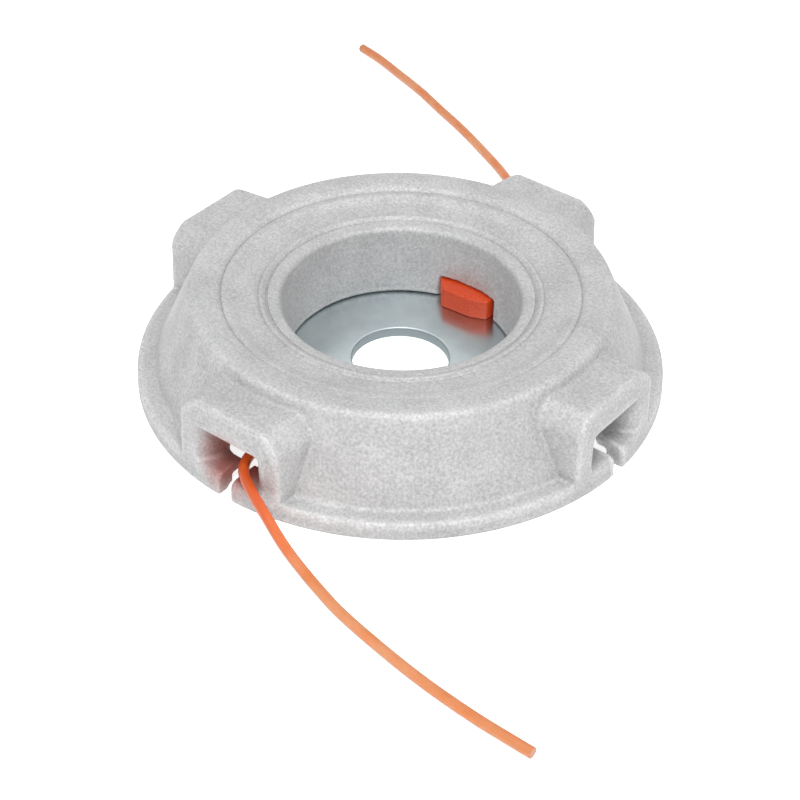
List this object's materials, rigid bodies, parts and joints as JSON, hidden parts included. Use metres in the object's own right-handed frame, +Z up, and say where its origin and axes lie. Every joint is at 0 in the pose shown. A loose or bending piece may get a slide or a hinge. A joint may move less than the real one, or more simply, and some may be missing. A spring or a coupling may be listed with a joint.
{
  "type": "fixed line trimmer head",
  "caption": "Round cast aluminium trimmer head with a dished top, an open bore over a steel arbor plate, bell-mouthed slotted line ports on its flank and stiff pre-cut lines.",
  "frame": {"origin": "centre of the rim's underside, on the arbor axis, at the plane the rim stands on", "axes": "+Z up along the arbor axis, towards the dished top; the four line ports lie on the X and Y axes, with lines in the -Y and +Y ports"},
  "size_m": [0.2223, 0.2188, 0.0266],
  "materials": {
    "cast_aluminium": "matte as-cast aluminium with a fine grain",
    "zinc_plated_steel": "bluish grey zinc plating with soft reflections",
    "screw_steel": "black oxide",
    "orange_nylon": "orange moulded nylon",
    "orange_line": "translucent orange extruded nylon line"
  },
  "bodies": {
    "root": {"body_casting": "cast_aluminium", "base_plate": "zinc_plated_steel", "plate_screw_1": "screw_steel", "plate_screw_2": "screw_steel", "plate_screw_3": "screw_steel", "plate_screw_4": "screw_steel", "line_lock_front": "orange_nylon", "line_lock_rear": "orange_nylon", "line_front": "orange_line", "line_rear": "orange_line"}
  },
  "joints": []
}
